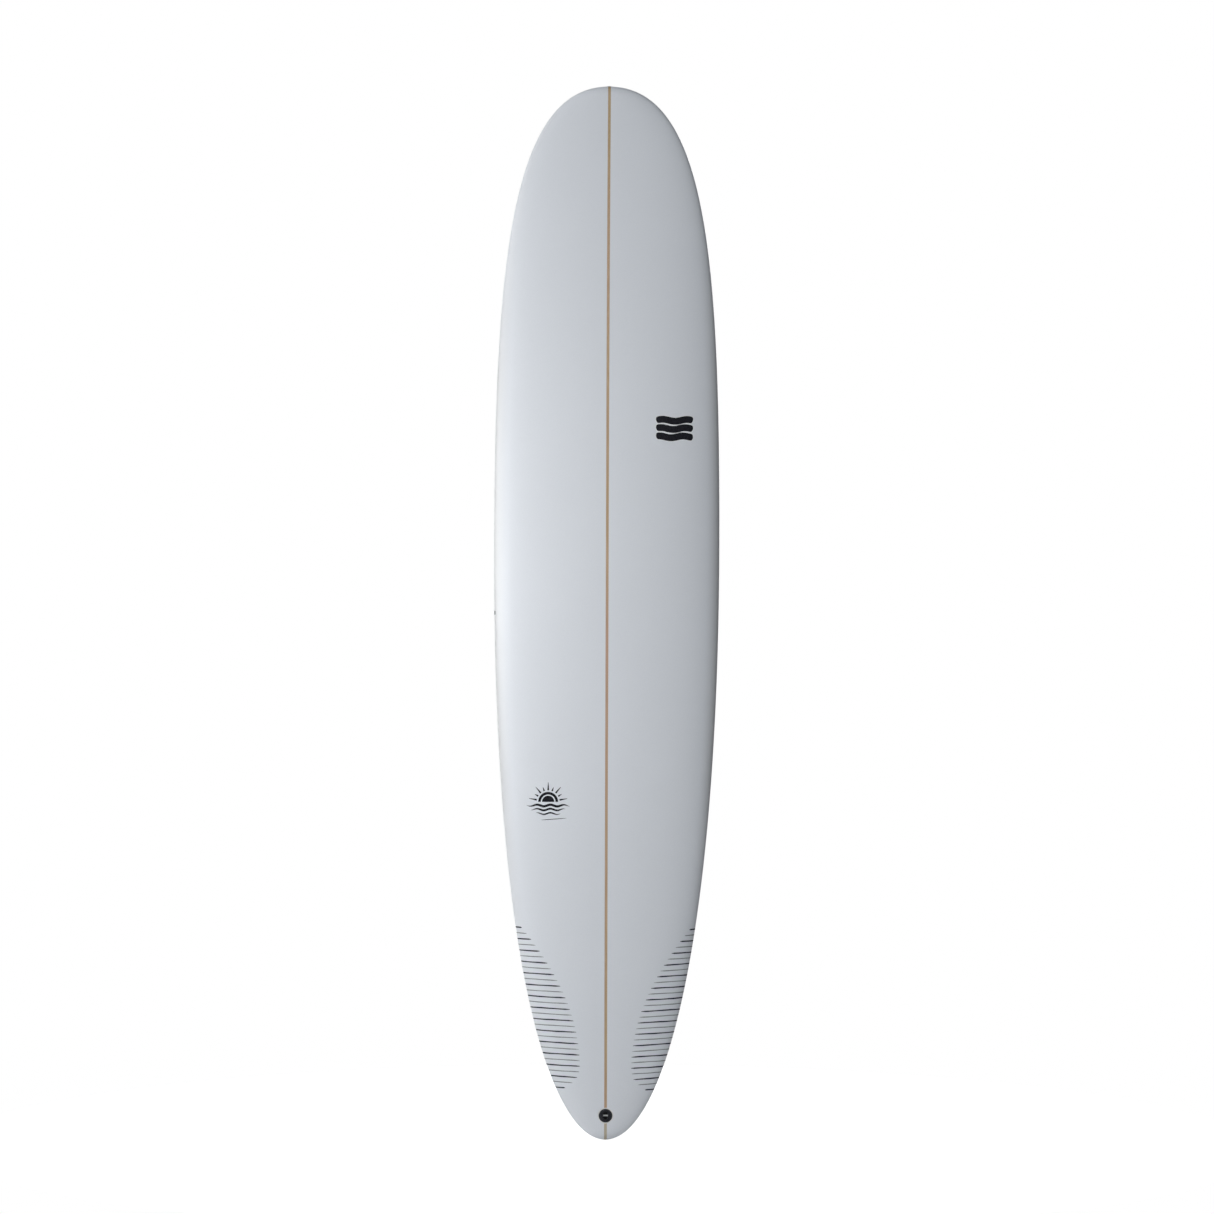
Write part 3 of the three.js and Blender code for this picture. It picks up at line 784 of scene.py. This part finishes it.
def make_wave_mark():
    outline = rolling_bands(1.7 * MM, lift=0.12 * MM)
    outline.piece("mark_bands_outline", "pale_ink", "board", "deck_skin", smooth_angle=EDGE_SMOOTH)
    bands = rolling_bands(0, lift=0.20 * MM)
    bands.piece("mark_bands", "dark_ink", "board", "deck_skin", smooth_angle=EDGE_SMOOTH)


SUN_MARK = {"x": -152 * MM, "z": -490 * MM, "radius": 26 * MM}
SUN_BANDS = ((0.02, 0.62), (0.74, 1.0))  # the disc and the ring round it, shares of the radius
SWELLS = ((56, 6.4), (45, 5.2), (32, 4.0))  # half length and thickness, in millimetres


def half_sun(parts):
    turn = np.linspace(0, math.pi, 41)[:, None]
    for low, high in SUN_BANDS:
        radius = np.linspace(low, high, 6)[None, :] * SUN_MARK["radius"]
        parts.deck_film(SUN_MARK["x"] + radius * np.cos(turn), SUN_MARK["z"] + radius * np.sin(turn))


def sun_rays(parts):
    """Nine tapering rays, long and short in turn."""
    for i in range(9):
        angle = math.radians(10 + i * 20)
        reach = np.linspace(1.16, 1.95 if i % 2 == 0 else 1.55, 9) * SUN_MARK["radius"]
        x = SUN_MARK["x"] + reach * math.cos(angle)
        z = SUN_MARK["z"] + reach * math.sin(angle)
        strip(parts, x, z, np.linspace(4.6, 1.0, 9) * MM, 3)


def sun_swell(parts):
    """Three lines of swell under the sun, each shorter and thinner than the one above."""
    t = np.linspace(-1, 1, 61)
    for i, (half, thick) in enumerate(SWELLS):
        roll = 2.1 * MM * np.sin(t * half / SWELLS[0][0] * 3.2 * math.pi + 0.5)
        z = SUN_MARK["z"] - (9.5 + i * 10.5) * MM + roll
        width = thick * MM * np.clip(1 - np.abs(t) ** 3, 0.12, 1)
        strip(parts, SUN_MARK["x"] + t * half * MM, z, width, 3)


def sun_stroke(parts):
    t = np.linspace(-1, 1, 31)
    x = SUN_MARK["x"] + 14 * MM + t * 34 * MM
    z = SUN_MARK["z"] - 45 * MM + 2.6 * MM * t
    strip(parts, x, z, 1.7 * MM * np.clip(1 - np.abs(t) ** 4, 0.2, 1), 3)


def make_sun_mark():
    """A rising half sun with rays over three lines of swell, and a thin stroke under them."""
    parts = Parts()
    half_sun(parts)
    sun_rays(parts)
    sun_swell(parts)
    sun_stroke(parts)
    parts.piece("mark_sun", "dark_ink", "board", "deck_skin", smooth_angle=EDGE_SMOOTH)


RAIL_MARK = {"z": (-1.5 * MM, 8.5 * MM), "angle": (0.02, 0.13)}


def make_rail_mark():
    """A small dark knock on the left rail, at mid-length."""
    places = np.linspace(*RAIL_MARK["z"], 9)
    z, angle = np.meshgrid(places, np.linspace(*RAIL_MARK["angle"], 7), indexing="ij")
    parts = Parts()
    parts.film(z, math.pi - angle)
    parts.piece("rail_mark_left", "line_dark", "board", "deck_skin", smooth_angle=EDGE_SMOOTH)


# ---- Leash plug ----


def round_slot(angle, radius, half_length):
    """Distance from the middle of a round-ended slot to its side, for directions from its narrow axis.
    The radius is that of its ends, which is half its width."""
    straight = half_length - radius
    c, s = np.abs(np.cos(angle)), np.abs(np.sin(angle))
    side = radius / np.maximum(c, 1e-9)
    on_side = side * s <= straight
    inner = radius**2 - (straight * c) ** 2
    end = straight * s + np.sqrt(np.maximum(inner, 0))
    return np.where(on_side, side, end)


def cup_section(slot):
    """The cup's section, from under its barrel to the slot's floor: (radius, depth below the rim's top)."""
    rim, barrel = LEASH_RIM, LEASH_BARREL
    floor = LEASH_SLOT["depth"] + LEASH_PROUD
    return [
        (barrel - 0.5 * MM, 16.5 * MM),
        (barrel, 16.0 * MM),
        (barrel, 2.5 * MM),
        (rim, 2.5 * MM),
        (rim, 0.45 * MM),
        (rim - 0.12 * MM, 0.16 * MM),
        (rim - 0.45 * MM, 0),
        (rim - 2.0 * MM, 0),
        (rim - 2.2 * MM, 0.35 * MM),
        (rim - 2.7 * MM, 0.35 * MM),
        (rim - 2.9 * MM, 0),
        (slot + 2.2 * MM, 0.02 * MM),
        (slot + 0.9 * MM, 0.06 * MM),
        (slot + 0.25 * MM, 0.35 * MM),
        (slot, 1.0 * MM),
        (slot - 0.1 * MM, 6.6 * MM),
        (slot - 0.3 * MM, floor - MM),
        (slot - 1.3 * MM, floor),
    ]


def make_leash_cup():
    """A black moulded plug: a bevelled rim with a fine groove, and a deep round-ended slot."""
    seat = deck_seat(LEASH_Z)
    turn = np.arange(96) / 96 * 2 * math.pi
    rings = []
    for radius, depth in cup_section(round_slot(turn, LEASH_SLOT["half_width"], LEASH_SLOT["half_length"])):
        y = depth - LEASH_PROUD
        reach = np.broadcast_to(radius, turn.shape)
        rings.append([seat @ Vector((r * math.cos(a), y, r * math.sin(a))) for r, a in zip(reach, turn)])
    parts = Parts()
    parts.rings(rings)
    name = "leash_plug_cup"
    parts.piece(name, "black_plastic", "board", "leash_plug", nodes=[name], smooth_angle=PLUG_SMOOTH)


def make_leash_bar():
    seat = deck_seat(LEASH_Z)
    half = LEASH_SLOT["half_width"] + 3 * MM
    radius = LEASH_BAR["radius"]
    turn = np.arange(40) / 40 * 2 * math.pi
    section = [(LEASH_BAR["depth"] + radius * math.cos(a), radius * math.sin(a)) for a in turn]
    parts = Parts()
    parts.rings([[seat @ Vector((x, y, z)) for y, z in section] for x in np.linspace(-half, half, 9)])
    name = "leash_plug_bar"
    parts.piece(name, "bar_steel", "board", "stainless", nodes=[name], smooth_angle=PLUG_SMOOTH)


def make_leash_resin():
    """The pale ring of filler resin round the plug."""
    turn = np.linspace(0, 2 * math.pi, 97)[:, None]
    radius = np.linspace(17.2, 20.4, 5)[None, :] * MM
    parts = Parts()
    parts.deck_film(radius * np.cos(turn), LEASH_Z + radius * np.sin(turn), lift=0.10 * MM)
    parts.piece("leash_plug_resin", "resin", "board", "deck_skin", smooth_angle=EDGE_SMOOTH)


# ---- Fins, in millimetres of their seats ----

CENTRE_FIN = {
    "leading": [(82, 0), (42, 92), (-52, 190), (-142, 186)],
    "trailing": [(-82, 0), (-64, 58), (-84, 132), (-142, 186)],
    "half_thickness": 4.6, "lift": 1.0,
}
SIDE_FIN = {
    "leading": [(51, 0), (28, 48), (-22, 98), (-72, 98)],
    "trailing": [(-51, 0), (-40, 26), (-44, 66), (-72, 98)],
    "half_thickness": 2.7, "lift": 1.8,
}
FIN_BASE = {"front": 60, "back": -80, "half_width": 4.5, "depth": 19}
FIN_TAB = {"front": 80, "top": 2.7, "bottom": 6.7}
FIN_ROOT_TOP = 1.4
CROSS_PIN = {"z": -70, "y": -10.3, "gap": 2.6}
FIN_SCREW = {"z": 70, "gap": 2.4}
SIDE_TAB = {"half_length": 10, "half_width": 2.7, "depth": 13.5}


def blade(parts, fin, outer, inner, seat, spans=56, chords=30):
    """A fin's blade: foil sections between its leading and trailing edges, from root to tip."""
    share = np.sin(np.linspace(0, 1, spans) * math.pi / 2)
    front = bezier(fin["leading"], share)
    back = bezier(fin["trailing"], share)
    turn = np.linspace(0, math.pi, chords)
    rings = []
    for i in range(spans):
        thick = fin["half_thickness"] * (1 - 0.75 * share[i])
        at = front[i] + (back[i] - front[i]) * ((1 - np.cos(turn)) / 2)[:, None]
        bulge = np.sin(turn) * (1 + np.cos(turn)) / 1.3
        faces = []
        for k in (outer, inner):
            faces.append([Vector((k * thick * b, p[1] + fin["lift"], p[0])) for b, p in zip(bulge, at)])
        ring = faces[0] + faces[1][-2:0:-1]
        rings.append([seat @ (v * MM) for v in ring])
    parts.rings(rings)


def slab(parts, low, high, seat, bevel=0.35):
    """A block with bevelled edges, from its lowest to its highest corner, in millimetres of the seat."""
    work = bmesh.new()
    bmesh.ops.create_cube(work, size=1)
    size = Vector(high) - Vector(low)
    middle = (Vector(high) + Vector(low)) / 2
    for v in work.verts:
        v.co = Vector((v.co.x * size.x, v.co.y * size.y, v.co.z * size.z)) + middle
    bmesh.ops.bevel(work, geom=work.edges[:], offset=bevel, segments=2, affect="EDGES")
    work.verts.index_update()
    parts.add([seat @ (v.co * MM) for v in work.verts], [[v.index for v in f.verts] for f in work.faces])
    work.free()


def centre_fin_base(parts, seat):
    """The fin's base in four blocks, which leave a hole for the cross pin at its rear."""
    half, floor = FIN_BASE["half_width"], -FIN_BASE["depth"]
    front, back, top = FIN_BASE["front"], FIN_BASE["back"], FIN_ROOT_TOP
    pin_z, pin_y, gap = CROSS_PIN["z"], CROSS_PIN["y"], CROSS_PIN["gap"]
    overlap = 0.5
    ahead = pin_z + gap + overlap
    slab(parts, (-half, floor, pin_z + gap), (half, top, front), seat)
    slab(parts, (-half, floor, back), (half, pin_y - gap, ahead), seat)
    slab(parts, (-half, pin_y + gap, back), (half, top, ahead), seat)
    slab(parts, (-half, pin_y - gap - overlap, back), (half, pin_y + gap + overlap, pin_z - gap), seat)


def centre_fin_tab(parts, seat):
    """The fin's front tab in four blocks, which leave a hole for the fin screw."""
    half, gap, screw_z = FIN_BASE["half_width"], FIN_SCREW["gap"], FIN_SCREW["z"]
    bottom, top = -FIN_TAB["bottom"], -FIN_TAB["top"]
    back, front = FIN_BASE["front"] - 1, FIN_TAB["front"]
    inner = gap + 0.2
    bevel = 0.25
    for low, high in ((-half, -gap), (gap, half)):
        slab(parts, (low, bottom, back), (high, top, front), seat, bevel)
    slab(parts, (-inner, bottom, back), (inner, top, screw_z - gap), seat, bevel)
    slab(parts, (-inner, bottom, screw_z + gap), (inner, top, front), seat, bevel)


def make_centre_fin():
    seat = bottom_seat(0, BOX_Z)
    parts = Parts()
    blade(parts, CENTRE_FIN, 1, -1, seat)
    centre_fin_base(parts, seat)
    centre_fin_tab(parts, seat)
    name = "centre_fin"
    parts.piece(name, "fin", name, "fin_composite", nodes=[name], smooth_angle=EDGE_SMOOTH)


def make_side_fin(side):
    seat = bottom_seat(side * SIDE_FIN_X, SIDE_FIN_Z, -side * SIDE_FIN_TOE, -side * SIDE_FIN_CANT)
    parts = Parts()
    outer, inner = (1.9, -0.1) if side > 0 else (0.1, -1.9)
    blade(parts, SIDE_FIN, outer, inner, seat, spans=44, chords=26)
    half = SIDE_TAB["half_width"]
    for end in (-1, 1):
        middle = end * TAB_SPACING / MM / 2
        low = (-half, -SIDE_TAB["depth"], middle - SIDE_TAB["half_length"])
        high = (half, SIDE_FIN["lift"] + 0.6, middle + SIDE_TAB["half_length"])
        slab(parts, low, high, seat)
    name = "side_fin_left" if side < 0 else "side_fin_right"
    parts.piece(name, "fin", name, "fin_composite", nodes=[name], smooth_angle=EDGE_SMOOTH)


# ---- CAD pieces that stay, with their own finish ----


SPLIT_ANGLE = math.radians(35)


def finish_node(name, look, bevel=0.0):
    """Gives a CAD piece its finish, and smooth or bevelled edges by modifiers alone."""
    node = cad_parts[name]
    node.data.materials.clear()
    node.data.materials.append(LOOKS[look])
    node.data.polygons.foreach_set("use_smooth", [True] * len(node.data.polygons))
    merge = node.modifiers.new("merge", "WELD")
    merge.merge_threshold = 0.01 * MM
    if bevel:
        edge = node.modifiers.new("edge", "BEVEL")
        edge.width = bevel
        edge.segments = 2
        edge.limit_method = "ANGLE"
        edge.angle_limit = math.radians(50)
    split = node.modifiers.new("split", "EDGE_SPLIT")
    split.split_angle = SPLIT_ANGLE


def finish_nodes():
    for side in ("left", "right"):
        finish_node(f"foam_core_{side}", "foam")
        for end in ("front", "rear"):
            finish_node(f"side_plug_{side}_{end}", "white_plastic", 0.25 * MM)
            finish_node(f"grub_screw_{side}_{end}", "steel", 0.15 * MM)
    finish_node("stringer", "wood")
    finish_node("fin_box", "white_plastic", 0.35 * MM)
    finish_node("fin_cross_pin", "brass", 0.2 * MM)
    finish_node("fin_screw", "steel", 0.2 * MM)
    finish_node("fin_nut_plate", "steel", 0.25 * MM)


# ---- Floor, light and camera ----

FLOOR = {"radius": 1.7, "sides": 96, "gap": 0.4 * MM}
FLOOR_GLOW = 0.75  # keeps the floor near white to the camera without lighting the board

# The surroundings are brightest on the left and fall off to the right, as in the photo.
AMBIENT = {
    "colour": (0.92, 0.965, 1.01, 1),
    "range": {"From Min": -0.2, "From Max": 1.0, "To Min": 0.34, "To Max": 0.07},
}


def make_floor():
    mesh = bpy.data.meshes.new("floor")
    radius, sides = FLOOR["radius"], FLOOR["sides"]
    low = float(LOW[2]) - FLOOR["gap"]
    turns = [2 * math.pi * i / sides for i in range(sides)]
    ring = [(radius * math.cos(turn), radius * math.sin(turn), low) for turn in turns]
    mesh.from_pydata(ring, [], [tuple(range(sides))])
    floor = bpy.data.objects.new("floor", mesh)
    bpy.context.scene.collection.objects.link(floor)
    look = Look("floor", Roughness=0.9)
    look.set("Base Color", look.ramp(look.noise(3, 2), (0.3, 0.74), (0.7, 0.78)))
    look.shader.inputs["Emission Color"].default_value = (1, 1, 1, 1)
    rays = look.node("ShaderNodeLightPath")
    look.set("Emission Strength", look.math("MULTIPLY", rays.outputs["Is Camera Ray"], FLOOR_GLOW))
    mesh.materials.append(look.material)


def make_world():
    """White beyond the floor, with a softer grey that lights the board from all round."""
    world = bpy.data.worlds.new("studio")
    bpy.context.scene.world = world
    world.use_nodes = True
    tree = world.node_tree
    tree.nodes.clear()
    seen = tree.nodes.new("ShaderNodeBackground")
    seen.inputs["Color"].default_value = (1, 1, 1, 1)
    seen.inputs["Strength"].default_value = 1.0
    light = tree.nodes.new("ShaderNodeBackground")
    light.inputs["Color"].default_value = AMBIENT["colour"]
    way = tree.nodes.new("ShaderNodeSeparateXYZ")
    dim = tree.nodes.new("ShaderNodeMapRange")
    for socket, value in AMBIENT["range"].items():
        dim.inputs[socket].default_value = value
    tree.links.new(tree.nodes.new("ShaderNodeTexCoord").outputs["Generated"], way.inputs["Vector"])
    tree.links.new(way.outputs["X"], dim.inputs["Value"])
    tree.links.new(dim.outputs["Result"], light.inputs["Strength"])
    rays = tree.nodes.new("ShaderNodeLightPath")
    pick = tree.nodes.new("ShaderNodeMixShader")
    out = tree.nodes.new("ShaderNodeOutputWorld")
    tree.links.new(rays.outputs["Is Camera Ray"], pick.inputs["Fac"])
    tree.links.new(light.outputs["Background"], pick.inputs[1])
    tree.links.new(seen.outputs["Background"], pick.inputs[2])
    tree.links.new(pick.outputs["Shader"], out.inputs["Surface"])


WARM = (1.0, 0.995, 0.985)
WHITE = (1.0, 1.0, 1.0)
SOFT_LIGHTS = [
    # name, (degrees left of the deck's front, degrees up, metres), aimed at, width, height, watts, colour
    ("key", (50, 8, 4.5), (0, -0.05, 0.1), 2.4, 3.2, 45, WARM),
    ("near", (55, 4, 1.8), (0, -0.05, 0.12), 0.8, 1.2, 14, WARM),
    ("front", (0, 15, 7), (0, -0.05, 0), 1.8, 1.8, 15, WHITE),
    ("nose", (45, 50, 3), (0, -0.05, 0.9), 1.5, 1.5, 2.6, WHITE),
    ("back", (186.6, 15, 5.42), (0, 0, 0), 3.0, 3.0, 120, WHITE),
]


def place_from(left, up, distance):
    """The place this many degrees left of the deck's front and up from level, seen from the origin."""
    left, up = math.radians(left), math.radians(up)
    level = distance * math.cos(up)
    return Vector((-level * math.sin(left), -level * math.cos(left), distance * math.sin(up)))


def make_lights():
    for name, way, aim, width, height, watts, colour in SOFT_LIGHTS:
        data = bpy.data.lights.new(name, "AREA")
        data.shape = "RECTANGLE"
        data.size = width
        data.size_y = height
        data.energy = watts
        data.color = colour
        lamp = bpy.data.objects.new(name, data)
        bpy.context.scene.collection.objects.link(lamp)
        lamp.visible_camera = False
        lamp.location = place_from(*way)
        lamp.rotation_euler = (Vector(aim) - lamp.location).to_track_quat("-Z", "Z").to_euler()


CAMERA = {"place": (-0.33, -11.0, 0.0195), "aim": (0.0, -0.07, 0.0195), "lens": 124.1, "roll": 0.19}


def make_camera():
    data = bpy.data.cameras.new("camera")
    data.sensor_width = 36
    data.lens = CAMERA["lens"]
    data.clip_end = 100
    camera = bpy.data.objects.new("camera", data)
    bpy.context.scene.collection.objects.link(camera)
    place, aim = Vector(CAMERA["place"]), Vector(CAMERA["aim"])
    turn = (aim - place).to_track_quat("-Z", "Y").to_matrix().to_4x4()
    roll = Matrix.Rotation(math.radians(CAMERA["roll"]), 4, "Z")
    camera.matrix_world = Matrix.Translation(place) @ turn @ roll
    bpy.context.scene.camera = camera


# ---- All together ----

make_camera()
make_world()
make_lights()
make_floor()
finish_nodes()
make_deck_skin()
make_bottom_skin()
make_stringer_lines()
make_tail_lines()
make_wave_mark()
make_sun_mark()
make_rail_mark()
make_leash_cup()
make_leash_bar()
make_leash_resin()
make_centre_fin()
make_side_fin(-1)
make_side_fin(1)

scene = bpy.context.scene
scene.view_settings.view_transform = "Standard"
scene.view_settings.look = "None"
